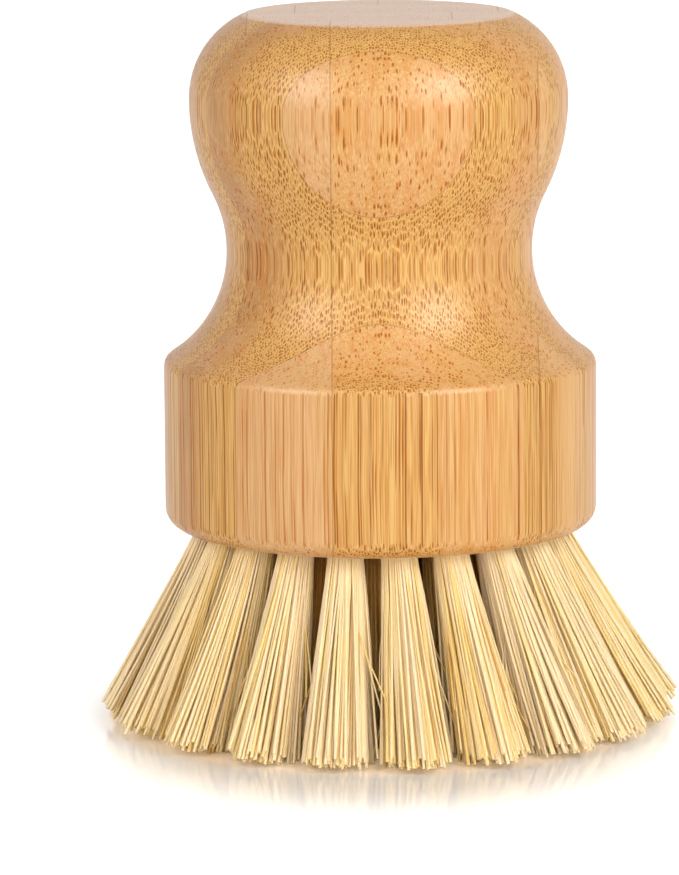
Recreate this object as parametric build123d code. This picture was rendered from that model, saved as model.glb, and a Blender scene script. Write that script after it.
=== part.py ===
from build123d import *
import math
import os

# A palm scrubbing brush: a round bamboo knob and base, turned in one from a glued block of
# boards, with stapled tufts of natural bristle that splay out below it.
# Millimetres, +Z up. The turning axis is X = Y = 0, the bristle tips stand on Z = 0, and the
# side that the boards' flat faces look towards is -Y, the front.

# Overall sizes
total_height = 78.0
bristle_height = 21.7
base_diameter = 47.5
knob_diameter = 41.4
flat_top_diameter = 28.9
bristle_spread = 62.0

# Turned outline of the block, with drops measured down from the flat top
knob_drop = 9.3
waist_drop = 25.9
waist_inset = 3.95
waist_sweep_radius = 13.85
shoulder_edge_radius = 1.25
underside_edge_radius = 2.0

# Boards and strips that the block was glued up from
board_thickness = 8.8
middle_glue_offset = -0.4
strip_width = 22.2
board_seam_shares = {
    "front": [-0.23],
    "second": [-0.23, 0.77],
    "third": [-0.64, 0.36],
    "fourth": [-0.41, 0.59],
    "fifth": [0.0],
    "back": [0.18],
}
strip_names = {2: ["left", "right"], 3: ["left", "middle", "right"]}

# Drilled holes, drawn with flats, the folded root that fills each one, and the flat anchor
# across its fold
hole_diameter = 4.2
hole_sides = 8
hole_depth = 8.0
root_clearance = 0.1
root_showing = 0.7
anchor_bite = 0.35
anchor_width = 1.8
anchor_thickness = 0.45
anchor_clearance = 0.05
anchor_turn = 45.0
fold_thickness = 0.8

# Strands of a tuft
strand_radius = 0.42
strand_sides = 3
bundle_radius = 1.45
tip_dome_rise = 1.75
tip_dome_power = 4
tip_unevenness = 0.6
floor_cut = 0.5
golden_share = 0.618

# Places of the strands in a tuft: how many stand on each circle, and the circle's share of
# the bundle's radius
outer_circle_shares = [(1, 0.0), (4, 0.5), (8, 1.0)]
other_circle_shares = [(1, 0.0), (5, 1.0)]

# Rings of tufts, from the edge inwards, with angles in degrees
outer_ring_radius = 18.1
outer_ring_tilt = 14.0
outer_ring_start = -12.0
outer_ring_tufts = 20
outer_tip_inner_radius = 20.8
outer_tip_half_width = 3.3

middle_ring_radius = 12.5
middle_ring_tilt = 9.0
middle_ring_start = 0.0
middle_ring_tufts = 12
middle_tip_radius = 16.0
middle_tip_half_width = 2.8

inner_ring_radius = 6.8
inner_ring_tilt = 4.5
inner_ring_start = 8.0
inner_ring_tufts = 6
inner_tip_radius = 8.9
inner_tip_half_width = 2.8

# How far the cutting solids run past what they cut
overrun = 5.0

# Places worked out from the sizes above
base_radius = base_diameter / 2
knob_radius = knob_diameter / 2
flat_top_radius = flat_top_diameter / 2
waist_radius = knob_radius - waist_inset
knob_height = total_height - knob_drop
waist_height = total_height - waist_drop
hole_radius = hole_diameter / 2
root_radius = hole_radius - root_clearance
outer_tip_radius = (bristle_spread / 2 + outer_tip_inner_radius) / 2
outer_tip_half_depth = (bristle_spread / 2 - outer_tip_inner_radius) / 2

# One row for a ring: its tufts' name and number, then the hole's place and tilt, then the
# place and half sizes of the patch that the strand tips spread over
rings = [
    dict(name="outer_tuft", count=outer_ring_tufts, radius=outer_ring_radius,
         tilt=outer_ring_tilt, start=outer_ring_start, tip_radius=outer_tip_radius,
         half_depth=outer_tip_half_depth, half_width=outer_tip_half_width,
         circles=outer_circle_shares),
    dict(name="middle_tuft", count=middle_ring_tufts, radius=middle_ring_radius,
         tilt=middle_ring_tilt, start=middle_ring_start, tip_radius=middle_tip_radius,
         half_depth=middle_tip_half_width, half_width=middle_tip_half_width,
         circles=other_circle_shares),
    dict(name="inner_tuft", count=inner_ring_tufts, radius=inner_ring_radius,
         tilt=inner_ring_tilt, start=inner_ring_start, tip_radius=inner_tip_radius,
         half_depth=inner_tip_half_width, half_width=inner_tip_half_width,
         circles=other_circle_shares),
    dict(name="centre_tuft", count=1, radius=0, tilt=0, start=0, tip_radius=0,
         half_depth=inner_tip_half_width, half_width=inner_tip_half_width,
         circles=other_circle_shares),
]


# Turned block

def rounded_corner(face, corner, radius):
    """The face with its corner nearest to a point rounded off."""
    return fillet(face.vertices().sort_by_distance(corner)[0], radius)


def turned_block():
    """The block as it leaves the lathe: base, flare, waist and knob in one outline."""
    sweep_centre = Vector(waist_radius + waist_sweep_radius, waist_height)
    shoulder_reach = sweep_centre.X - base_radius
    shoulder_height = waist_height - math.sqrt(waist_sweep_radius**2 - shoulder_reach**2)

    # The knob's lower arc starts upright at its widest ring and runs into the waist's arc.
    centre_step = sweep_centre.X - knob_radius
    rise = knob_height - waist_height
    belly_radius = (centre_step**2 + rise**2 - waist_sweep_radius**2) / (2 * waist_inset)
    belly_centre = Vector(knob_radius - belly_radius, knob_height)
    meeting = belly_centre + (sweep_centre - belly_centre).normalized() * belly_radius

    axis_bottom = (0, bristle_height)
    underside_corner = (base_radius, bristle_height)
    shoulder_corner = (base_radius, shoulder_height)
    widest = (knob_radius, knob_height)
    top_corner = (flat_top_radius, total_height)
    axis_top = (0, total_height)
    outline = [
        Line(axis_bottom, underside_corner),
        Line(underside_corner, shoulder_corner),
        ThreePointArc(shoulder_corner, (waist_radius, waist_height), meeting),
        TangentArc(widest, meeting, tangent=(0, -1)),
        TangentArc(widest, top_corner, tangent=(0, 1)),
        Line(top_corner, axis_top),
        Line(axis_top, axis_bottom),
    ]
    face = make_face(outline)
    face = rounded_corner(face, underside_corner, underside_edge_radius)
    face = rounded_corner(face, shoulder_corner, shoulder_edge_radius)
    return revolve(Plane.XZ * face, axis=Axis.Z)


# Holes, roots and anchors, each drawn on the plane of its own hole

def hole_planes(ring):
    """Planes at the mouths of a ring's holes, with Z pointing out of the hole."""
    planes = []
    for index in range(ring["count"]):
        angle = ring["start"] + 360 * index / ring["count"]
        mouth = Pos(ring["radius"], 0, bristle_height) * Rot(0, 180 - ring["tilt"], 0)
        planes.append(Plane(Rot(0, 0, angle - 90) * mouth))
    return planes


def drill(plane):
    """The cutter of one hole, from its flat bottom out past the mouth."""
    section = plane * Pos(0, 0, -hole_depth) * RegularPolygon(hole_radius, hole_sides)
    return extrude(section, hole_depth + overrun)


def anchor_plate(plane, clearance):
    """The flat anchor across a fold, or with a clearance the slot that it sits in."""
    length = hole_diameter + 2 * anchor_bite + 2 * clearance
    thickness = anchor_thickness + 2 * clearance
    width = anchor_width + 2 * clearance
    middle = fold_thickness + anchor_width / 2 - hole_depth
    return plane * Pos(0, 0, middle) * Rot(0, 0, anchor_turn) * Box(length, thickness, width)


def folded_root(plane):
    """The packed and folded lower end of a tuft, as it fills its hole."""
    depth = hole_depth - root_clearance
    section = plane * Pos(0, 0, -depth) * RegularPolygon(root_radius, hole_sides)
    return extrude(section, depth + root_showing) - anchor_plate(plane, anchor_clearance)


# Strands

def uneven_share(number):
    """A share from 0 to 1 that jumps about from one number to the next."""
    return (number * golden_share) % 1


def strand(ring, circle_share, turn, uneven):
    """One strand in the ring's own frame, X away from the axis, from the hole to its tip."""
    across = circle_share * math.cos(turn)
    along = circle_share * math.sin(turn)
    root = Vector(ring["radius"] + bundle_radius * across, bundle_radius * along,
                  bristle_height)
    foot = Vector(ring["tip_radius"] + ring["half_depth"] * across,
                  ring["half_width"] * along, 0)
    dome_share = (foot.length / (bristle_spread / 2)) ** tip_dome_power
    tip_height = tip_dome_rise * dome_share + tip_unevenness * uneven - floor_cut
    tip = foot + (root - foot) * (tip_height / bristle_height)
    section = Rot(0, 0, math.degrees(turn)) * RegularPolygon(strand_radius, strand_sides)
    return loft([Pos(tip) * section, Pos(root) * section], ruled=True)


def tuft(ring, index, plane):
    """A tuft: its strands fused to the folded root, with the lowest tips trimmed flat."""
    angle = ring["start"] + 360 * index / ring["count"] - 90
    strands = []
    for count, circle_share in ring["circles"]:
        for place in range(count):
            turn = 2 * math.pi * place / count
            uneven = uneven_share(len(strands) * ring["count"] + index)
            strands.append(Rot(0, 0, angle) * strand(ring, circle_share, turn, uneven))
    floor_width = bristle_spread + 2 * overrun
    floor = Pos(0, 0, -overrun) * Box(floor_width, floor_width, 2 * overrun)
    return folded_root(plane) + strands - floor


def ring_of_tufts(ring, planes):
    """A ring's tufts. Where their number is even, the second half is the first half turned
    about the axis, so that the brush stands in balance."""
    made = ring["count"] // 2 if ring["count"] % 2 == 0 else ring["count"]
    tufts = [tuft(ring, index, planes[index]) for index in range(made)]
    return tufts + [Rot(0, 0, 180) * piece for piece in tufts[:ring["count"] - made]]


# Boards and strips

def edges_between(inner_edges):
    """Neighbouring pairs of edges, with the block's own limits past the first and last."""
    limit = base_radius + overrun
    edges = [-limit, *inner_edges, limit]
    return list(zip(edges, edges[1:]))


def strips(block):
    """The strips of the drilled block, by name, cut apart at the glue lines."""
    glue_offsets = [middle_glue_offset + board_thickness * step for step in range(-2, 3)]
    pieces = {}
    for (board, shares), (front, back) in zip(board_seam_shares.items(),
                                              edges_between(glue_offsets)):
        spans = edges_between([strip_width * share for share in shares])
        for side, (left, right) in zip(strip_names[len(spans)], spans):
            middle = Pos((left + right) / 2, (front + back) / 2, total_height / 2)
            region = middle * Box(right - left, back - front, total_height + 2 * overrun)
            pieces[f"{board}_board_{side}_strip"] = block & region
    return pieces


# Assembly

os.makedirs("parts", exist_ok=True)

tufts = {}
anchors = []
cutters = []
for ring in rings:
    planes = hole_planes(ring)
    for plane in planes:
        cutters += [drill(plane), anchor_plate(plane, anchor_clearance)]
        anchors.append(anchor_plate(plane, 0))
    for index, piece in enumerate(ring_of_tufts(ring, planes)):
        number = "" if ring["count"] == 1 else f"_{index + 1:02d}"
        tufts[ring["name"] + number] = piece

for name, piece in strips(turned_block() - cutters).items():
    export_step(piece, f"parts/{name}.step")
for name, piece in tufts.items():
    export_step(piece, f"parts/{name}.step")
export_step(Compound(children=anchors), "parts/staple_anchors.step")
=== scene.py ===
import math
import random

import bpy
import numpy as np
from mathutils import Matrix, Vector


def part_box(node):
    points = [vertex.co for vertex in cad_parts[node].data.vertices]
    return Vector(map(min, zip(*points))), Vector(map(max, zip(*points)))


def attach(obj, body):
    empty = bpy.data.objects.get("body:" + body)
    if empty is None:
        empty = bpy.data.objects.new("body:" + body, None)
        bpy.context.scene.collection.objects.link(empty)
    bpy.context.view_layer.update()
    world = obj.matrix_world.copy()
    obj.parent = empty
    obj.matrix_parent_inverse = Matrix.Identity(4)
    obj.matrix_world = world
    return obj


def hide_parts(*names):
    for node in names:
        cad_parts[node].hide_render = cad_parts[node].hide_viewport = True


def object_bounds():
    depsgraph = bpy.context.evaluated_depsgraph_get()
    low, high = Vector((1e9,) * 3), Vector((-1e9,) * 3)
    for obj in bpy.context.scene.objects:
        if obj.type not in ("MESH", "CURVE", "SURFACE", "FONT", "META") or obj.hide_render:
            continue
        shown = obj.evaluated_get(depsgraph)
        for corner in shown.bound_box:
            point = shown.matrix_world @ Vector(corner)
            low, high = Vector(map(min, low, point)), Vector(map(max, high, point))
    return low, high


# The looks of a round palm scrubbing brush: a bamboo block, turned in one from glued boards,
# and tufts of natural bristle that splay out below it.
# Metres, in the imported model's frame: the turning axis is X = Y = 0, the bristle tips stand on
# Z = 0, and the front is -Y.

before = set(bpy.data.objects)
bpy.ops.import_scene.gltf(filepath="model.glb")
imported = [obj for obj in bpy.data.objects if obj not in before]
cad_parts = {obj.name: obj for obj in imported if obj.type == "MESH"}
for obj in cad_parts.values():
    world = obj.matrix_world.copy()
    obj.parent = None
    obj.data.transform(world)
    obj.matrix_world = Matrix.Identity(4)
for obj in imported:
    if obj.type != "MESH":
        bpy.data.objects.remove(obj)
cad_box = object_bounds()
bpy.ops.object.select_all(action="DESELECT")

# Sizes that the frame gives
front_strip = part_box("front_board_right_strip")
second_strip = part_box("second_board_left_strip")
total_height = cad_box[1].z
underside = front_strip[0].z
base_radius = -front_strip[0].y
board_thickness = second_strip[1].y - second_strip[0].y

# Turned outline, with drops measured down from the flat top
knob_radius = 0.0207
flat_top_radius = 0.01445
knob_drop = 0.0093
waist_drop = 0.0259
waist_inset = 0.00395
waist_sweep_radius = 0.01385
shoulder_edge_radius = 0.00125
underside_edge_radius = 0.002
top_edge_radius = 0.001
cap_margin = 0.0004
outline_step = 0.0006
turning_steps = 240
weld_distance = 0.000001
wood_smooth_angle = 30

# Drilled holes
hole_radius = 0.0021
hole_depth = 0.008
hole_sides = 32
drill_overrun = 0.002

# Strands. A strand's rings stand at shares of its length: 0 at the mouth of the hole, 1 at the
# tip and -1 at the foot, down in the hole.
strand_sides = 5
strand_ring_shares = [-1.0, 0.0, 0.22, 0.48, 0.74, 1.0]
strand_root_radius = 0.000105
strand_tip_radius = 0.000182
thickness_shares = (0.75, 1.2)
foot_depth_share = 0.95
strand_smooth_angle = 80
bundle_radius = 0.00185
bend_share = 0.13
sway = 0.00022
tip_scatter = 0.00045
tip_lean = 0.0008
golden_turn = math.pi * (3 - math.sqrt(5))
edge_crowding = 0.44

# Trimming of the tips: flat in the middle, and raised towards the rim
tip_dome_rise = 0.00175
tip_dome_power = 4
tip_unevenness = 0.0008
uneven_shares = (-0.8, 1)
floor_cut = 0.0005
bristle_spread_radius = 0.031

# Stray strands, which hang out past the side of their tuft
stray_thickness_share = 0.55
stray_reach = 0.002
stray_rise = 0.007
stray_sway = 0.0009
stray_depth_shares = (-0.2, 0.7)

# Tones of the strands, from 0 for the palest to 1 for the warmest. The tufts inside the outer ring
# are warmer, and warmer still towards their roots: painted shade, for the gaps between the tufts
# where the strands lie in shade.
outer_tone = 0.3
shaded_tuft_tone = 0.5
root_painted_shade = 0.5
tuft_tone_spread = 0.05
strand_tone_spread = 0.12
inner_warmth = 0.24

# Rings of tufts, from the edge inwards, with angles in degrees
outer_ring_radius = 0.0181
outer_ring_tilt = 14
outer_ring_start = -12
outer_ring_tufts = 20
outer_tip_radius = 0.0262
outer_tip_half_depth = 0.0054
outer_tip_half_width = 0.0034
outer_strands = 380
outer_strays = 4

middle_ring_radius = 0.0125
middle_ring_tilt = 9
middle_ring_start = 0
middle_ring_tufts = 12
middle_tip_radius = 0.016
middle_strays = 2

inner_ring_radius = 0.0068
inner_ring_tilt = 4.5
inner_ring_start = 8
inner_ring_tufts = 6
inner_tip_radius = 0.0089
inner_strays = 1

other_tip_half_width = 0.0029
other_strands = 190

# One row for a ring: its tufts' name and number, the hole's place and tilt, the place and half
# sizes of the patch that the tips spread over, and how many strands of what tone it has, with the
# painted shade that its strands get towards the roots
rings = [
    dict(name="outer_tuft", count=outer_ring_tufts, radius=outer_ring_radius,
         tilt=outer_ring_tilt, start=outer_ring_start, tip_radius=outer_tip_radius,
         half_depth=outer_tip_half_depth, half_width=outer_tip_half_width,
         strands=outer_strands, strays=outer_strays, tone=outer_tone, painted_root_shade=0),
    dict(name="middle_tuft", count=middle_ring_tufts, radius=middle_ring_radius,
         tilt=middle_ring_tilt, start=middle_ring_start, tip_radius=middle_tip_radius,
         half_depth=other_tip_half_width, half_width=other_tip_half_width,
         strands=other_strands, strays=middle_strays, tone=shaded_tuft_tone,
         painted_root_shade=root_painted_shade),
    dict(name="inner_tuft", count=inner_ring_tufts, radius=inner_ring_radius,
         tilt=inner_ring_tilt, start=inner_ring_start, tip_radius=inner_tip_radius,
         half_depth=other_tip_half_width, half_width=other_tip_half_width,
         strands=other_strands, strays=inner_strays, tone=shaded_tuft_tone,
         painted_root_shade=root_painted_shade),
    dict(name="centre_tuft", count=1, radius=0, tilt=0, start=0, tip_radius=0,
         half_depth=other_tip_half_width, half_width=other_tip_half_width,
         strands=other_strands, strays=0, tone=shaded_tuft_tone, painted_root_shade=root_painted_shade),
]

# Bamboo grain: the size of each kind of feature along X, Y and Z
wobble_feature = (0.014, 0.014, 0.013)
wobble_reach = (0.0004, 0.0004, 0.0)
patch_feature = (0.0026, 0.0026, 0.03)
streak_feature = (0.00012, 0.00012, 0.007)
band_feature = (0.0008, 0.0008, 0.05)
cluster_feature = (0.0016, 0.004, 0.05)
strip_shift = (0.0371, 0.0527, 0.0193)
grain_relief = 0.00004

# Fibre bundles: their spacing, and the share of it that a core's radius and the net between
# bundles take. Chance makes each core from the least share to one whole more of that radius. A
# core is dark out to the edge share of its own radius, and its halo ends at the halo share.
dense_spacing = 0.00029
dense_core_share = 0.28
dense_net_share = 0.15
sparse_spacing = 0.0004
sparse_core_share = 0.19
sparse_net_share = 0.1
bundle_scatter = 0.8
least_core_share = 0.6
core_edge_share = 0.6
halo_share = 1.6
net_edge_share = 0.4

# Where in a board's depth dense bundles turn into sparse ones, as shares of its thickness, and
# how ragged that line is
inside_shares = (0.3, 0.75)
ragged_share = 0.4

# Sparse bundles stand in clusters, which grow stronger between two values of the noise. Dense
# ones are strongest near the crowd place of their strip.
cluster_noise = (0.4, 0.58)
cluster_strengths = (0.3, 1.3)
sparse_strength = 1.6
crowd_places = {"front_board_right": 0.0005}
crowd_reach = 0.0065
crowd_strength = 2.0

# Glue lines and end grain. A glue line or crowd place that a strip doesn't have is put far
# outside the block.
glue_sides = ("Left Face", "Right Face", "Front Face", "Back Face")
seam_width = 0.00011
glue_width = 0.00004
end_grain_depth = 0.0003
far_outside = 1.0

# Layers of the bamboo's colour, laid one over another. Each has its mask, the mask's values
# where it starts and where it is full, how strongly it covers what is under it, and its shade.
# The ground is nearer to the cane's inside, the bundles to its outer face. The flat ends are paler:
# partly the end grain's own colour, and partly painted light that stands in for the sheen on the
# flat top and the light that falls on it from above. What lies over them there is toned down in a
# second pass.
ground_layers = [
    ("Patches", 0.42, 0.62, 0.4, "daa573"), ("Bands", 0.5, 0.64, 0.32, "cb7818"),
    ("Halo", 0.05, 0.7, 0.9, "c4700e"),
]
bundle_layers = [("Tone", 0.2, 1.0, 0.9, "ba7624")]
# The pale end-grain shade below is partly painted light on the flat ends
surface_layers = [
    ("End", 0.0, 1.0, 0.65, "efcdb4"), ("Core", 0.0, 0.6, 0.95, "935000"),
    ("Streaks", 0.5, 0.72, 0.45, "e9c58b"), ("Streaks", 0.5, 0.28, 0.45, "b47229"),
    ("End", 0.0, 1.0, 0.4, "efcdb4"), ("Line", 0.0, 1.0, 0.55, "804f20"),
]
bundle_shade = "ce9850"
net_shade = "dcad64"

# Masks that cover more on a strip with stronger bundles, and how much of the ground shows: at
# the cane's inside, and at its outer face where a strip has no bundles
strip_masks = ("Bands", "Halo", "Core")
inner_ground_share = 0.95
outer_ground_share = 0.1

# Satin finish of the bamboo
bamboo_gloss = 0.26
bamboo_roughness = 0.34
core_roughness = 0.14
core_hollow = -0.6
grain_strength = 0.25

# The ground colour of each strip, how strong its bundles are, and how much nearer to the cane's
# inside it was sawn, as a share of its thickness
strip_looks = {
    "front_board_left": ("d4a571", 0.62, 0.2), "front_board_right": ("d6a160", 1.05, 0.05),
    "second_board_left": ("ba8850", 1.25, 0.0), "second_board_middle": ("d39e5f", 1.0, 0.0),
    "second_board_right": ("dcac6e", 0.75, 0.2), "third_board_left": ("c18f5a", 0.8, 0.1),
    "third_board_middle": ("d09c5c", 0.9, 0.0), "third_board_right": ("d8a261", 0.8, 0.2),
    "fourth_board_left": ("cf9c61", 0.8, 0.1), "fourth_board_middle": ("d5a05e", 0.9, 0.0),
    "fourth_board_right": ("d7a265", 0.8, 0.1), "fifth_board_left": ("d49e5e", 0.9, 0.0),
    "fifth_board_right": ("cd9958", 0.9, 0.1), "back_board_left": ("d8a668", 0.8, 0.2),
    "back_board_right": ("d39a58", 1.0, 0.0),
}

# Bristle: the size of each kind of feature along X, Y and Z, the shades for tones from 0 to 1,
# and fine lines over them
fibre_line_feature = (0.0002, 0.0002, 0.004)
tone_drift_feature = (0.003, 0.003, 0.009)
tone_drift = 0.3
bristle_shades = [(0.0, "fce4bc"), (0.3, "fde7bb"), (0.5, "fce09c"), (0.7, "f2ca76"),
                  (1.0, "c98a3a")]
fibre_line_layer = (0.35, 0.7, 0.2, "f2cf8a")
fibre_relief = 0.00002
fibre_strength = 0.2
bristle_gloss = 0.12
bristle_roughness = 0.5

# Brushed steel, between two shades
steel_line_feature = (0.0006, 0.0006, 0.00004)
steel_line_noise = (0.3, 0.7)
steel_shades = ("b9bbbe", "d4d5d7")
steel_roughness = 0.2
steel_line_roughness = 0.25

# Floor: where its painted shadow, darker and warmer near the brush, fades out, measured on an oval
# about the axis, where the warm glow at the foot of the bristles does, which is painted light in
# place of light through the bristles, and how much light each stretch gives off by itself
floor_size = 6
floor_gloss = 0.75
floor_roughness = 0.13
shadow_and_floor_shades = ("eae5de", "f4f3f1")
floor_oval_shares = (0.92, 0.66, 1.0)
near_floor = 0.023
far_floor = 0.036
under_floor = 0.0285
clear_floor = 0.0325
near_glow = (0.08, 0.08, 0.08, 1)
far_glow = (0.6, 0.6, 0.6, 1)
# Painted light: a warm glow under the bristles, in place of light that passes through them
painted_under_glow = (0.33, 0.22, 0.12, 1)

# Light: the room's level at the walls and overhead, and the softboxes. A softbox has the way to
# it from the middle of the brush, its distance and width, and its power in watts.
wall_level = 0.45
ceiling_level = 0.26
ceiling_start = 0.9
softboxes = [
    {"name": "right_softbox", "direction": (0.52, -0.55, 0.44), "distance": 0.6,
     "width": 0.28, "watts": 1.72, "gloss": True, "diffuse": True},
    {"name": "left_softbox", "direction": (-0.645, -0.43, 0.46), "distance": 0.6,
     "width": 0.24, "watts": 0.98, "gloss": True, "diffuse": True},
    {"name": "front_softbox", "direction": (0.1, -1, 0.12), "distance": 0.8,
     "width": 0.7, "watts": 3.0, "gloss": False, "diffuse": True},
    {"name": "right_sheen", "direction": (0.52, -0.55, 0.42), "distance": 0.6,
     "width": 0.36, "watts": 3.0, "gloss": True, "diffuse": False},
    {"name": "left_sheen", "direction": (-0.52, -0.55, 0.42), "distance": 0.6,
     "width": 0.36, "watts": 2.0, "gloss": True, "diffuse": False},
]

# Camera, with angles in degrees
camera_lens = 238.0
camera_place = (0, -0.62807, 0.13924)
camera_yaw = 0.411
camera_pitch = 9.772
camera_roll = 0.4


# Colours and node trees

def paint(shade):
    """A colour written as it looks on a screen, such as "ecbc82", in the renderer's own values."""
    values = [int(shade[place:place + 2], 16) / 255 for place in (0, 2, 4)]
    return [v / 12.92 if v <= 0.04045 else ((v + 0.055) / 1.055) ** 2.4 for v in values] + [1]


def feed(tree, socket, value):
    """Links a node's output to a socket, or sets the socket to a plain value."""
    if isinstance(value, bpy.types.NodeSocket):
        tree.links.new(value, socket)
    else:
        socket.default_value = value


def add_node(tree, kind, inputs=None, **settings):
    """A node with its settings, and with its named inputs linked or set."""
    node = tree.nodes.new(kind)
    for name, value in settings.items():
        setattr(node, name, value)
    for name, value in (inputs or {}).items():
        feed(tree, node.inputs[name], value)
    return node


def calculate(tree, operation, *values):
    """A number worked out from others."""
    node = add_node(tree, "ShaderNodeMath", operation=operation)
    for socket, value in zip(node.inputs, values):
        feed(tree, socket, value)
    return node.outputs["Value"]


def calculate_vector(tree, operation, *values):
    """A vector worked out from others."""
    node = add_node(tree, "ShaderNodeVectorMath", operation=operation)
    for socket, value in zip(node.inputs, values):
        feed(tree, socket, value)
    return node.outputs["Vector"]


def fade(tree, value, start, end, low=0.0, high=1.0):
    """Runs smoothly from low to high as a value goes from start to end."""
    node = add_node(tree, "ShaderNodeMapRange", interpolation_type="SMOOTHSTEP")
    for socket, number in zip(node.inputs, (value, start, end, low, high)):
        feed(tree, socket, number)
    return node.outputs["Result"]


def blend_colours(tree, share, first, second):
    """The first colour where the share is 0 and the second where it is 1."""
    node = add_node(tree, "ShaderNodeMix", data_type="RGBA")
    factor, start, end = (next(s for s in node.inputs if s.identifier == name)
                          for name in ("Factor_Float", "A_Color", "B_Color"))
    feed(tree, factor, share)
    feed(tree, start, first)
    feed(tree, end, second)
    return next(s for s in node.outputs if s.identifier == "Result_Color")


def new_group(name, inputs, outputs):
    """A shader node group with named sockets, and its entry and exit nodes."""
    group = bpy.data.node_groups.new(name, "ShaderNodeTree")
    for socket, kind in inputs.items():
        group.interface.new_socket(socket, in_out="INPUT", socket_type=kind)
    for socket, kind in outputs.items():
        group.interface.new_socket(socket, in_out="OUTPUT", socket_type=kind)
    return group, group.nodes.new("NodeGroupInput").outputs, group.nodes.new("NodeGroupOutput")


def place_group(tree, group, inputs):
    """One use of a node group with its own values, and its outputs by name."""
    node = tree.nodes.new("ShaderNodeGroup")
    node.node_tree = group
    for name, value in inputs.items():
        feed(tree, node.inputs[name], value)
    return dict(node.outputs.items())


def stretched_noise(tree, position, feature_size, detail=2.0):
    """Noise whose features have a given size along each axis."""
    per_metre = [1 / size for size in feature_size]
    vector = calculate_vector(tree, "MULTIPLY", position, per_metre)
    return add_node(tree, "ShaderNodeTexNoise", {"Vector": vector, "Scale": 1.0, "Detail": detail})


# Bamboo

def bundle_masks(tree, position, spacing, core_share, net_share):
    """Fibre bundles that run up through the wood: how strongly each one is coloured, its dark
    core and the amber round that, and its body out to the pale net between neighbours."""
    sampling = {"Vector": position, "Scale": 1 / spacing, "Randomness": bundle_scatter}
    near = add_node(tree, "ShaderNodeTexVoronoi", sampling,
                    voronoi_dimensions="2D", feature="F1")
    edge = add_node(tree, "ShaderNodeTexVoronoi", sampling,
                    voronoi_dimensions="2D", feature="DISTANCE_TO_EDGE")
    chance = add_node(tree, "ShaderNodeSeparateColor", {"Color": near.outputs["Color"]})
    radius = calculate(tree, "MULTIPLY_ADD", chance.outputs["Red"], core_share,
                       core_share * least_core_share)
    inner = calculate(tree, "MULTIPLY", radius, core_edge_share)
    outer = calculate(tree, "MULTIPLY", radius, halo_share)
    tone = chance.outputs["Green"]
    core = fade(tree, near.outputs["Distance"], inner, radius, 1.0, 0.0)
    halo = fade(tree, near.outputs["Distance"], radius, outer, 1.0, 0.0)
    body = fade(tree, edge.outputs["Distance"], net_share * net_edge_share, net_share)
    return {"Core": calculate(tree, "MULTIPLY", core, tone), "Body": body, "Tone": tone,
            "Halo": calculate(tree, "MULTIPLY", halo, tone)}


def bamboo_grain_group():
    """Bamboo's inner grain. Bundles crowd near the outer face of the cane and thin out towards
    its inside. A face along the fibres cuts them into lines, and a face across them into dots."""
    inputs = {"Position": "NodeSocketVector", "Shift": "NodeSocketVector",
              "Outer Face": "NodeSocketFloat", "Board Depth": "NodeSocketFloat",
              "Crowd Place": "NodeSocketFloat"}
    names = ("Core", "Halo", "Body", "Tone", "Inside", "Patches", "Streaks", "Bands")
    group, given, result = new_group("Bamboo Grain", inputs,
                                     {name: "NodeSocketFloat" for name in names})
    place = add_node(group, "ShaderNodeSeparateXYZ", {"Vector": given["Position"]})
    shifted = calculate_vector(group, "ADD", given["Position"], given["Shift"])

    # The bundles wander a little on their way up.
    wobble = stretched_noise(group, shifted, wobble_feature, 1.0)
    offset = calculate_vector(group, "SUBTRACT", wobble.outputs["Color"], (0.5, 0.5, 0.5))
    offset = calculate_vector(group, "MULTIPLY", offset, wobble_reach)
    wandering = calculate_vector(group, "ADD", shifted, offset)

    patches = stretched_noise(group, shifted, patch_feature).outputs["Fac"]
    streaks = stretched_noise(group, shifted, streak_feature).outputs["Fac"]
    bands = stretched_noise(group, shifted, band_feature, 1.0).outputs["Fac"]

    # 0 at the cane's outer face and 1 at its inside
    depth = calculate(group, "SUBTRACT", place.outputs["Y"], given["Outer Face"])
    depth = calculate(group, "DIVIDE", depth, given["Board Depth"])
    ragged = calculate(group, "MULTIPLY_ADD", patches, ragged_share, -ragged_share / 2)
    inside = fade(group, calculate(group, "ADD", depth, ragged), *inside_shares)

    dense = bundle_masks(group, wandering, dense_spacing, dense_core_share, dense_net_share)
    sparse = bundle_masks(group, wandering, sparse_spacing, sparse_core_share, sparse_net_share)

    clusters = stretched_noise(group, shifted, cluster_feature, 1.0).outputs["Fac"]
    clusters = fade(group, clusters, *cluster_noise, *cluster_strengths)
    aside = calculate(group, "SUBTRACT", place.outputs["X"], given["Crowd Place"])
    aside = calculate(group, "ABSOLUTE", aside)
    crowd = fade(group, aside, crowd_reach / 2, crowd_reach, crowd_strength, 1.0)
    strong = calculate(group, "MULTIPLY", clusters, sparse["Tone"])
    strong = calculate(group, "MULTIPLY", strong, sparse_strength)
    for name in ("Core", "Halo"):
        sparse[name] = calculate(group, "MULTIPLY", sparse[name], strong)
        dense[name] = calculate(group, "MULTIPLY", dense[name], crowd)
    for name in ("Core", "Halo", "Body", "Tone"):
        mixed = add_node(group, "ShaderNodeMix", {"Factor": inside}, data_type="FLOAT")
        feed(group, mixed.inputs["A"], dense[name])
        feed(group, mixed.inputs["B"], sparse[name])
        feed(group, result.inputs[name], mixed.outputs["Result"])
    for name, value in (("Inside", inside), ("Patches", patches), ("Streaks", streaks),
                        ("Bands", bands)):
        feed(group, result.inputs[name], value)
    return group


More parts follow.
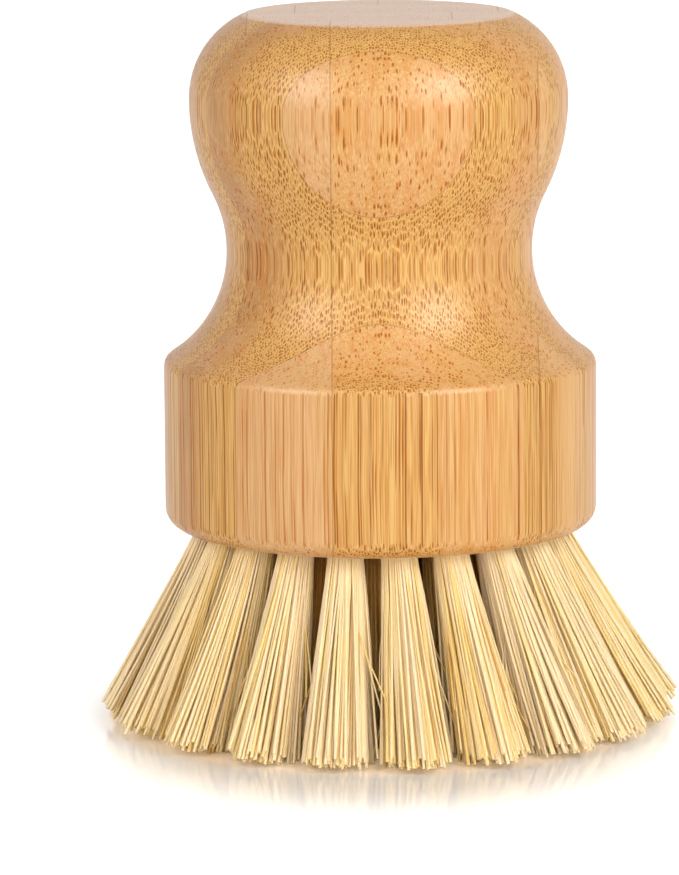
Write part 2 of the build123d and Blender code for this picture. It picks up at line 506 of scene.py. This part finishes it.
def glue_line_group():
    """The hairlines where a strip is glued to its neighbours, from the places of its faces."""
    inputs = {"Position": "NodeSocketVector", "Seam Width": "NodeSocketFloat",
              "Glue Width": "NodeSocketFloat"}
    inputs.update({side: "NodeSocketFloat" for side in glue_sides})
    group, given, result = new_group("Glue Line", inputs, {"Line": "NodeSocketFloat"})
    place = add_node(group, "ShaderNodeSeparateXYZ", {"Vector": given["Position"]})
    nearest = 1.0
    for side, axis in zip(glue_sides, "XXYY"):
        width = given["Seam Width"] if axis == "X" else given["Glue Width"]
        gap = calculate(group, "SUBTRACT", place.outputs[axis], given[side])
        gap = calculate(group, "DIVIDE", calculate(group, "ABSOLUTE", gap), width)
        nearest = calculate(group, "MINIMUM", nearest, gap)
    feed(group, result.inputs["Line"], fade(group, nearest, 0.0, 1.0, 1.0, 0.0))
    return group


def end_grain_group():
    """Marks the flat top and the flat underside, where the cut runs square across the fibres."""
    inputs = {"Position": "NodeSocketVector", "Top": "NodeSocketFloat",
              "Underside": "NodeSocketFloat", "Depth": "NodeSocketFloat"}
    group, given, result = new_group("End Grain", inputs, {"End": "NodeSocketFloat"})
    place = add_node(group, "ShaderNodeSeparateXYZ", {"Vector": given["Position"]})
    nearest = 1.0
    for face in ("Top", "Underside"):
        gap = calculate(group, "SUBTRACT", place.outputs["Z"], given[face])
        nearest = calculate(group, "MINIMUM", nearest, calculate(group, "ABSOLUTE", gap))
    feed(group, result.inputs["End"], fade(group, nearest, 0.0, given["Depth"], 1.0, 0.0))
    return group


def glued_faces(node):
    """The flat glued faces of a strip: the way that each one faces, and a point on it."""
    low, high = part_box(node)
    faces = {}
    if "right" in node or "middle" in node:
        faces["Left Face"] = ((-1, 0, 0), low)
    if "left" in node or "middle" in node:
        faces["Right Face"] = ((1, 0, 0), high)
    if "front" not in node:
        faces["Front Face"] = ((0, -1, 0), low)
    if "back" not in node:
        faces["Back Face"] = ((0, 1, 0), high)
    return faces


def bamboo_material(node, groups, number):
    """Satin bamboo for one strip, with the strip's own tone and its own stretch of grain."""
    grain, glue, end_grain = groups
    material = bpy.data.materials.new("bamboo " + node)
    material.use_nodes = True
    tree = material.node_tree
    shader = tree.nodes["Principled BSDF"]
    strip = node.removesuffix("_strip")
    tint, amount, inset = strip_looks[strip]
    position = add_node(tree, "ShaderNodeTexCoord").outputs["Object"]

    low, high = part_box(node)
    outer_face = high.y - board_thickness if "front" in node else low.y
    grain_inputs = {"Position": position, "Board Depth": board_thickness,
                    "Crowd Place": crowd_places.get(strip, far_outside),
                    "Outer Face": outer_face - inset * board_thickness,
                    "Shift": [number * step for step in strip_shift]}
    glue_inputs = {"Position": position, "Seam Width": seam_width, "Glue Width": glue_width}
    for side in glue_sides:
        glue_inputs[side] = far_outside
    for side, (facing, point) in glued_faces(node).items():
        glue_inputs[side] = point.x if facing[0] else point.y
    masks = place_group(tree, grain, grain_inputs)
    masks |= place_group(tree, glue, glue_inputs)
    masks |= place_group(tree, end_grain, {"Position": position, "Top": total_height,
                                           "Underside": underside, "Depth": end_grain_depth})

    def cover(colour, layers):
        """The colour with these layers laid over it."""
        for mask, start, full, strength, shade in layers:
            if mask in strip_masks:
                strength *= amount
            share = fade(tree, masks[mask], start, full, 0.0, strength)
            colour = blend_colours(tree, share, colour, paint(shade))
        return colour

    bundles = cover(paint(bundle_shade), bundle_layers)
    crowded = blend_colours(tree, masks["Body"], paint(net_shade), bundles)
    outer_ground = outer_ground_share * (1 - amount)
    ground_share = calculate(tree, "MULTIPLY_ADD", masks["Inside"],
                             inner_ground_share - outer_ground, outer_ground)
    ground = cover(paint(tint), ground_layers)
    colour = blend_colours(tree, ground_share, crowded, ground)
    feed(tree, shader.inputs["Base Color"], cover(colour, surface_layers))

    shader.inputs["Specular IOR Level"].default_value = bamboo_gloss
    rough = calculate(tree, "MULTIPLY_ADD", masks["Core"], core_roughness, bamboo_roughness)
    feed(tree, shader.inputs["Roughness"], rough)
    hollow = calculate(tree, "MULTIPLY_ADD", masks["Core"], core_hollow, masks["Streaks"])
    bump = add_node(tree, "ShaderNodeBump", {"Height": hollow, "Strength": grain_strength,
                                             "Distance": grain_relief})
    feed(tree, shader.inputs["Normal"], bump.outputs["Normal"])
    return material


# Turned block

def arc(centre, radius, start, end):
    """Points of a round stretch of the outline, each a distance from the axis and a height."""
    steps = max(math.ceil(abs(end - start) * radius / outline_step), 3)
    turns = [start + (end - start) * step / steps for step in range(steps + 1)]
    return [(centre[0] + radius * math.cos(turn), centre[1] + radius * math.sin(turn))
            for turn in turns]


def turned_outline():
    """The block's outline from the flat underside up to the flat top."""
    waist_height = total_height - waist_drop
    knob_height = total_height - knob_drop
    sweep_reach = knob_radius - waist_inset + waist_sweep_radius
    points = arc((base_radius - underside_edge_radius, underside + underside_edge_radius),
                 underside_edge_radius, -math.pi / 2, 0)

    # The shoulder's rounding runs into the hollow sweep of the waist.
    edge_reach = base_radius - shoulder_edge_radius
    centres_apart = waist_sweep_radius + shoulder_edge_radius
    edge_drop = math.sqrt(centres_apart ** 2 - (sweep_reach - edge_reach) ** 2)
    edge_turn = math.atan2(edge_drop, sweep_reach - edge_reach)
    points += arc((edge_reach, waist_height - edge_drop), shoulder_edge_radius, 0, edge_turn)

    # The knob's lower arc starts upright at its widest ring and runs into the waist's sweep.
    rise = knob_height - waist_height
    centre_step = sweep_reach - knob_radius
    belly_radius = (centre_step ** 2 + rise ** 2 - waist_sweep_radius ** 2) / (2 * waist_inset)
    belly_reach = knob_radius - belly_radius
    meeting_turn = math.atan2(rise, belly_reach - sweep_reach)
    points += arc((sweep_reach, waist_height), waist_sweep_radius, edge_turn + math.pi,
                  meeting_turn)[1:]
    points += arc((belly_reach, knob_height), belly_radius, meeting_turn - math.pi, 0)[1:]

    # The crown ends in a sanded edge round the flat top.
    crown_width = knob_radius - flat_top_radius
    crown_radius = (crown_width ** 2 + knob_drop ** 2) / (2 * crown_width)
    crown_reach = knob_radius - crown_radius
    edge_rise = knob_drop - top_edge_radius
    edge_step = math.sqrt((crown_radius - top_edge_radius) ** 2 - edge_rise ** 2)
    top_turn = math.atan2(edge_rise, edge_step)
    points += arc((crown_reach, knob_height), crown_radius, 0, top_turn)[1:]
    points += arc((crown_reach + edge_step, total_height - top_edge_radius), top_edge_radius,
                  top_turn, math.pi / 2)[1:]
    return points


def turned_block():
    """The outline drawn point by point, spun round the axis and closed at both ends."""
    outline = [Vector((reach, 0, height)) for reach, height in turned_outline()]
    bpy.ops.mesh.primitive_plane_add(size=outline_step, location=outline[0])
    block = bpy.context.object
    bpy.ops.object.transform_apply()
    bpy.ops.object.mode_set(mode="EDIT")
    bpy.ops.mesh.merge(type="CENTER")
    for here, there in zip(outline, outline[1:]):
        bpy.ops.mesh.extrude_region_move(TRANSFORM_OT_translate={"value": there - here})
    bpy.ops.mesh.select_all(action="SELECT")
    bpy.ops.mesh.spin(steps=turning_steps, angle=math.tau, center=(0, 0, 0), axis=(0, 0, 1))
    bpy.ops.mesh.select_all(action="SELECT")
    bpy.ops.mesh.remove_doubles(threshold=weld_distance)
    bpy.ops.mesh.fill_holes(sides=0)
    bpy.ops.mesh.select_all(action="SELECT")
    bpy.ops.mesh.normals_make_consistent(inside=False)
    bpy.ops.object.mode_set(mode="OBJECT")

    # A narrow rim inside each flat end keeps its shading level.
    for face in block.data.polygons:
        face.select = len(face.vertices) == turning_steps
    bpy.ops.object.mode_set(mode="EDIT")
    bpy.ops.mesh.select_mode(type="FACE")
    bpy.ops.mesh.inset(thickness=cap_margin)
    bpy.ops.object.mode_set(mode="OBJECT")
    return block


def ring_turns(ring):
    """The angle of each tuft of a ring about the axis. A ring's start is counted from the front."""
    return [math.radians(ring["start"] - 90 + 360 * index / ring["count"])
            for index in range(ring["count"])]


def hole_matrices(ring):
    """The places of a ring's holes, each with its Z pointing out of the hole."""
    tilt = Matrix.Rotation(math.pi - math.radians(ring["tilt"]), 4, "Y")
    mouth = Matrix.Translation((ring["radius"], 0, underside)) @ tilt
    return [Matrix.Rotation(turn, 4, "Z") @ mouth for turn in ring_turns(ring)]


def copy_of(piece, name):
    """A copy with a mesh of its own."""
    copied = piece.copy()
    copied.data = piece.data.copy()
    copied.name = name
    copied.data.name = name
    bpy.context.collection.objects.link(copied)
    return copied


def only(*pieces):
    """Selects these objects alone, and makes the first one active."""
    bpy.ops.object.select_all(action="DESELECT")
    for piece in pieces:
        piece.select_set(True)
    bpy.context.view_layer.objects.active = pieces[0]


def drill_bits():
    """One object with a drill bit standing in every hole."""
    depth = hole_depth + drill_overrun
    bpy.ops.mesh.primitive_cylinder_add(vertices=hole_sides, radius=hole_radius, depth=depth,
                                        location=(0, 0, depth / 2 - hole_depth))
    bit = bpy.context.object
    bpy.ops.object.transform_apply()
    bits = []
    for ring in rings:
        for matrix in hole_matrices(ring):
            bits.append(copy_of(bit, "bit"))
            bits[-1].data.transform(matrix)
    bpy.data.objects.remove(bit)
    only(*bits)
    bpy.ops.object.join()
    return bits[0]


def cut_strip(block, bits, node):
    """One strip of the block, sawn out along its glued faces and then drilled."""
    strip = copy_of(block, node.replace("_strip", "_bamboo"))
    only(strip)
    bpy.ops.object.mode_set(mode="EDIT")
    for facing, point in glued_faces(node).values():
        bpy.ops.mesh.select_all(action="SELECT")
        bpy.ops.mesh.bisect(plane_co=point, plane_no=facing, use_fill=True, clear_outer=True)
    bpy.ops.object.mode_set(mode="OBJECT")
    drilling = strip.modifiers.new("Drilling", "BOOLEAN")
    drilling.operation = "DIFFERENCE"
    drilling.solver = "EXACT"
    drilling.object = bits
    bpy.ops.object.modifier_apply(modifier=drilling.name)
    bpy.ops.object.shade_smooth_by_angle(angle=math.radians(wood_smooth_angle))
    return strip


def bamboo_strips():
    """All the strips, each on the body and in the place of its own node."""
    block = turned_block()
    bits = drill_bits()
    groups = (bamboo_grain_group(), glue_line_group(), end_grain_group())
    for number, node in enumerate(sorted(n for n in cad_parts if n.endswith("_strip"))):
        strip = cut_strip(block, bits, node)
        strip.data.materials.clear()
        strip.data.materials.append(bamboo_material(node, groups, number))
        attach(strip, "root")
        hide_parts(node)
    bpy.data.objects.remove(block)
    bpy.data.objects.remove(bits)


# Bristles

def strand_fibre_group():
    """A bristle's own grain: fine lines along it, and a tone that drifts a little."""
    inputs = {"Position": "NodeSocketVector", "Tone": "NodeSocketFloat"}
    group, given, result = new_group("Strand Fibre", inputs, {"Shade": "NodeSocketFloat",
                                                              "Lines": "NodeSocketFloat"})
    lines = stretched_noise(group, given["Position"], fibre_line_feature).outputs["Fac"]
    drift = stretched_noise(group, given["Position"], tone_drift_feature).outputs["Fac"]
    level = calculate(group, "SUBTRACT", given["Tone"], tone_drift / 2)
    shade = calculate(group, "MULTIPLY_ADD", drift, tone_drift, level)
    feed(group, result.inputs["Shade"], shade)
    feed(group, result.inputs["Lines"], lines)
    return group


def bristle_material():
    """Pale natural bristle, where each strand has its own tone, and the tufts inside the outer ring
    have painted shade that grows towards their roots.
    """
    material = bpy.data.materials.new("natural bristle")
    material.use_nodes = True
    tree = material.node_tree
    shader = tree.nodes["Principled BSDF"]
    position = add_node(tree, "ShaderNodeTexCoord").outputs["Object"]
    # The strand's tone, with the painted shade towards the roots already added
    tone = add_node(tree, "ShaderNodeAttribute", attribute_name="strand_tone_and_shade").outputs["Fac"]
    fibre = place_group(tree, strand_fibre_group(), {"Position": position, "Tone": tone})
    ramp = add_node(tree, "ShaderNodeValToRGB", {"Fac": fibre["Shade"]})
    stops = ramp.color_ramp.elements
    while len(stops) < len(bristle_shades):
        stops.new(0.5)
    for stop, (place, shade) in zip(stops, bristle_shades):
        stop.position = place
        stop.color = paint(shade)
    start, full, strength, line_shade = fibre_line_layer
    lines = fade(tree, fibre["Lines"], start, full, 0.0, strength)
    colour = blend_colours(tree, lines, ramp.outputs["Color"], paint(line_shade))
    feed(tree, shader.inputs["Base Color"], colour)
    shader.inputs["Roughness"].default_value = bristle_roughness
    shader.inputs["Specular IOR Level"].default_value = bristle_gloss
    bump = add_node(tree, "ShaderNodeBump", {"Height": fibre["Lines"], "Strength": fibre_strength,
                                             "Distance": fibre_relief})
    feed(tree, shader.inputs["Normal"], bump.outputs["Normal"])
    return material


def strand_blank():
    """One straight strand, modelled at unit size: the corners and faces of its mesh."""
    low, high = strand_ring_shares[0], strand_ring_shares[-1]
    bpy.ops.mesh.primitive_cylinder_add(vertices=strand_sides, radius=1, depth=high - low,
                                        location=(0, 0, (high + low) / 2))
    blank = bpy.context.object
    bpy.ops.object.transform_apply()
    bpy.ops.object.mode_set(mode="EDIT")
    for share in strand_ring_shares[1:-1]:
        bpy.ops.mesh.select_all(action="SELECT")
        bpy.ops.mesh.bisect(plane_co=(0, 0, share), plane_no=(0, 0, 1))
    bpy.ops.object.mode_set(mode="OBJECT")
    corners = np.array([corner.co for corner in blank.data.vertices])
    faces = [list(face.vertices) for face in blank.data.polygons]
    bpy.data.objects.remove(blank)
    return corners, faces


def tip_height(reach, uneven):
    """How high a tip is trimmed: flat in the middle and raised towards the rim."""
    dome = tip_dome_rise * (reach / bristle_spread_radius) ** tip_dome_power
    return max(dome + tip_unevenness * uneven - floor_cut, 0)


def edge_share(ring, number):
    """How far out in its bundle a strand stands, from 0 in the middle to 1 at the edge."""
    return ((number + 0.5) / ring["strands"]) ** edge_crowding


def strand_ends(ring, chance, number):
    """Where one strand leaves its hole, and its tip, in the ring's own frame."""
    share = edge_share(ring, number)
    turn = number * golden_turn
    across, along = share * math.cos(turn), share * math.sin(turn)
    root = Vector((-bundle_radius * across, bundle_radius * along, 0))
    reach = ring["tip_radius"] + ring["half_depth"] * across + chance.gauss(0, tip_scatter)
    aside = ring["half_width"] * along + chance.gauss(0, tip_scatter)
    height = tip_height(math.hypot(reach, aside), chance.uniform(*uneven_shares))
    return root, Vector((reach, aside, height))


def stray_tip(ring, chance):
    """The tip of a stray strand, which hangs out past the side of its tuft."""
    aside = ring["half_width"] + chance.uniform(0, 1) * stray_reach
    reach = ring["tip_radius"] + ring["half_depth"] * chance.uniform(*stray_depth_shares)
    height = tip_height(reach, 1) + chance.uniform(0, 1) * stray_rise
    side = chance.choice((-1, 1))

    # A strand that ends higher up hasn't spread as far.
    return Vector((reach - height / 2, aside * side, height))


def tuft_strands(ring, matrix, turn, chance):
    """The strands of one tuft: each one's root, bend, tip and foot, its thickness and tone."""
    spin = Matrix.Rotation(turn, 4, "Z")
    axis = (matrix.to_3x3() @ Vector((0, 0, 1))).normalized()
    strands = []
    tuft_tone = chance.gauss(ring["tone"], tuft_tone_spread)
    for number in range(ring["strands"] + ring["strays"]):
        stray = number >= ring["strands"]
        number %= ring["strands"]
        root, tip = strand_ends(ring, chance, number)
        if stray:
            tip = stray_tip(ring, chance)
        root = matrix @ root
        tip = spin @ tip + Vector((tip_lean, 0, 0))
        length = (tip - root).length
        swing = Vector([chance.gauss(0, stray_sway if stray else sway) for _ in range(3)])
        bend = root.lerp(tip, 0.5).lerp(root + axis * length / 2, bend_share) + swing
        thickness = stray_thickness_share if stray else chance.uniform(*thickness_shares)
        warmth = inner_warmth * (1 - edge_share(ring, number) ** 2)
        tone = min(max(chance.gauss(tuft_tone, strand_tone_spread) + warmth, 0), 1)
        foot = root - axis * hole_depth * foot_depth_share
        strands.append((root, bend, tip, foot, thickness, tone))
    return strands


def make_tuft(name, ring, matrix, turn, blank):
    """One tuft as a mesh: the blank strand bent along each strand's own line, with its lowest
    corners pressed flat on the floor."""
    chance = random.Random(name)
    corners, faces = blank
    shares = corners[:, 2]
    outside = np.clip(shares, 0, 1)[:, None]
    inside = np.clip(-shares, 0, 1)[:, None]
    points, tones = [], []
    for root, bend, tip, foot, thickness, tone in tuft_strands(ring, matrix, turn, chance):
        root, bend, tip, foot = (np.array(point) for point in (root, bend, tip, foot))
        line = (1 - outside) ** 2 * root + 2 * outside * (1 - outside) * bend + outside ** 2 * tip
        line = line + inside * (foot - root)
        side = Vector(tip - root).orthogonal().normalized()
        other = Vector(tip - root).normalized().cross(side)
        width = strand_root_radius + (strand_tip_radius - strand_root_radius) * outside
        ring_offset = corners[:, :1] * np.array(side) + corners[:, 1:2] * np.array(other)
        points.append(line + thickness * width * ring_offset)
        # Painted shade is added to the tone towards the root, as much as the ring has
        tones += (tone + ring["painted_root_shade"] * (1 - outside[:, 0])).tolist()
    points = np.concatenate(points)
    points[:, 2] = np.maximum(points[:, 2], 0)
    polygons = [[corner + first for corner in face]
                for first in range(0, len(points), len(corners)) for face in faces]
    mesh = bpy.data.meshes.new(name)
    mesh.from_pydata(points.tolist(), [], polygons)
    mesh.attributes.new("strand_tone_and_shade", "FLOAT", "POINT").data.foreach_set("value", tones)
    tuft = bpy.data.objects.new(name, mesh)
    bpy.context.collection.objects.link(tuft)
    only(tuft)
    bpy.ops.object.shade_smooth_by_angle(angle=math.radians(strand_smooth_angle))
    return tuft


def bristle_tufts():
    """All the tufts, each in the place of its own node."""
    blank = strand_blank()
    material = bristle_material()
    for ring in rings:
        places = zip(ring_turns(ring), hole_matrices(ring))
        for index, (turn, matrix) in enumerate(places):
            node = ring["name"] + ("" if ring["count"] == 1 else f"_{index + 1:02d}")
            tuft = make_tuft(node.replace("tuft", "bristles"), ring, matrix, turn, blank)
            tuft.data.materials.append(material)
            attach(tuft, "root")
            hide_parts(node)


# Anchors

def steel_material():
    """Brushed steel strip, as the staples' anchors are stamped from."""
    material = bpy.data.materials.new("brushed steel strip")
    material.use_nodes = True
    tree = material.node_tree
    shader = tree.nodes["Principled BSDF"]
    position = add_node(tree, "ShaderNodeTexCoord").outputs["Object"]
    lines = stretched_noise(tree, position, steel_line_feature).outputs["Fac"]
    share = fade(tree, lines, *steel_line_noise)
    colour = blend_colours(tree, share, *map(paint, steel_shades))
    feed(tree, shader.inputs["Base Color"], colour)
    rough = calculate(tree, "MULTIPLY_ADD", lines, steel_line_roughness, steel_roughness)
    feed(tree, shader.inputs["Roughness"], rough)
    shader.inputs["Metallic"].default_value = 1
    return material


def dress_anchors():
    """Gives the anchors their steel."""
    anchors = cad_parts["staple_anchors"]
    anchors.data.materials.clear()
    anchors.data.materials.append(steel_material())


# Stage, light and camera

def where_seen(tree, plain, seen):
    """One shader for the light that falls on things, another for the camera and reflections."""
    path = add_node(tree, "ShaderNodeLightPath").outputs
    rays = calculate(tree, "MAXIMUM", path["Is Camera Ray"], path["Is Glossy Ray"])
    rays = calculate(tree, "MAXIMUM", rays, path["Is Transmission Ray"])
    mix = add_node(tree, "ShaderNodeMixShader", {"Fac": rays})
    feed(tree, mix.inputs[1], plain)
    feed(tree, mix.inputs[2], seen)
    return mix.outputs["Shader"]


def add_floor():
    """A pale glossy floor that glows softly away from the brush, with a painted shadow near it, and
    that glows warmly right under it: painted light in place of light through the bristles.
    """
    bpy.ops.mesh.primitive_plane_add(size=floor_size, location=(0, 0, 0))
    floor = bpy.context.object
    floor.name = "studio_floor"
    material = bpy.data.materials.new("white acrylic floor")
    material.use_nodes = True
    tree = material.node_tree
    shader = tree.nodes["Principled BSDF"]
    shader.inputs["Roughness"].default_value = floor_roughness
    shader.inputs["Specular IOR Level"].default_value = floor_gloss
    position = add_node(tree, "ShaderNodeTexCoord").outputs["Object"]
    oval = calculate_vector(tree, "MULTIPLY", position, floor_oval_shares)
    reach = add_node(tree, "ShaderNodeVectorMath", operation="LENGTH")
    feed(tree, reach.inputs[0], oval)
    # Painted shadow: the floor is darker and warmer near the brush, and fades to its plain shade on
    # the oval
    away = fade(tree, reach.outputs["Value"], near_floor, far_floor)
    feed(tree, shader.inputs["Base Color"], blend_colours(tree, away, *map(paint, shadow_and_floor_shades)))
    glow_colour = blend_colours(tree, away, near_glow, far_glow)
    straight = add_node(tree, "ShaderNodeVectorMath", operation="LENGTH")
    feed(tree, straight.inputs[0], position)
    # Painted light: right under the bristles the floor glows warmly, in place of light that passes
    # through them
    clear = fade(tree, straight.outputs["Value"], under_floor, clear_floor)
    glow_colour = blend_colours(tree, clear, painted_under_glow, glow_colour)
    glow = add_node(tree, "ShaderNodeEmission", {"Color": glow_colour, "Strength": 1.0})
    lit = add_node(tree, "ShaderNodeAddShader")
    feed(tree, lit.inputs[0], shader.outputs["BSDF"])
    feed(tree, lit.inputs[1], glow.outputs["Emission"])
    surface = where_seen(tree, shader.outputs["BSDF"], lit.outputs["Shader"])
    feed(tree, tree.nodes["Material Output"].inputs["Surface"], surface)
    floor.data.materials.append(material)


def light_room():
    """A white room, dimmer overhead, that shows as pure white."""
    world = bpy.data.worlds.new("white room")
    bpy.context.scene.world = world
    world.use_nodes = True
    tree = world.node_tree
    soft = tree.nodes["Background"]
    soft.inputs["Color"].default_value = (1, 1, 1, 1)
    direction = add_node(tree, "ShaderNodeTexCoord").outputs["Generated"]
    upwards = add_node(tree, "ShaderNodeSeparateXYZ", {"Vector": direction}).outputs["Z"]
    level = fade(tree, upwards, 0.0, ceiling_start, wall_level, ceiling_level)
    feed(tree, soft.inputs["Strength"], level)
    white = add_node(tree, "ShaderNodeBackground", {"Color": (1, 1, 1, 1), "Strength": 1.0})
    surface = where_seen(tree, soft.outputs["Background"], white.outputs["Background"])
    feed(tree, tree.nodes["World Output"].inputs["Surface"], surface)


def add_softbox(name, direction, distance, width, watts, gloss, diffuse):
    """A square soft lamp that looks at the brush from a given side. It lights surfaces, shows
    in their gloss, or does both."""
    bpy.ops.object.light_add(type="AREA")
    lamp = bpy.context.object
    lamp.name = name
    lamp.data.shape = "SQUARE"
    lamp.data.size = width
    lamp.data.energy = watts
    lamp.visible_camera = False
    lamp.visible_glossy = gloss
    lamp.visible_diffuse = diffuse
    middle = Vector((0, 0, total_height / 2))
    lamp.location = middle + Vector(direction).normalized() * distance
    lamp.rotation_euler = (middle - lamp.location).to_track_quat("-Z", "Y").to_euler()


def add_camera():
    """The photograph's view: a long lens, a little above the brush and rolled by a hair."""
    bpy.ops.object.camera_add()
    camera = bpy.context.object
    camera.data.lens = camera_lens
    camera.location = camera_place
    turn = Matrix.Rotation(math.radians(camera_yaw), 4, "Z")
    tilt = Matrix.Rotation(math.radians(90 - camera_pitch), 4, "X")
    roll = Matrix.Rotation(math.radians(-camera_roll), 4, "Z")
    camera.rotation_euler = (turn @ tilt @ roll).to_euler()
    bpy.context.scene.camera = camera


# The whole picture

bamboo_strips()
bristle_tufts()
dress_anchors()
add_floor()
light_room()
for softbox in softboxes:
    add_softbox(**softbox)
add_camera()
bpy.context.scene.view_settings.view_transform = "Standard"
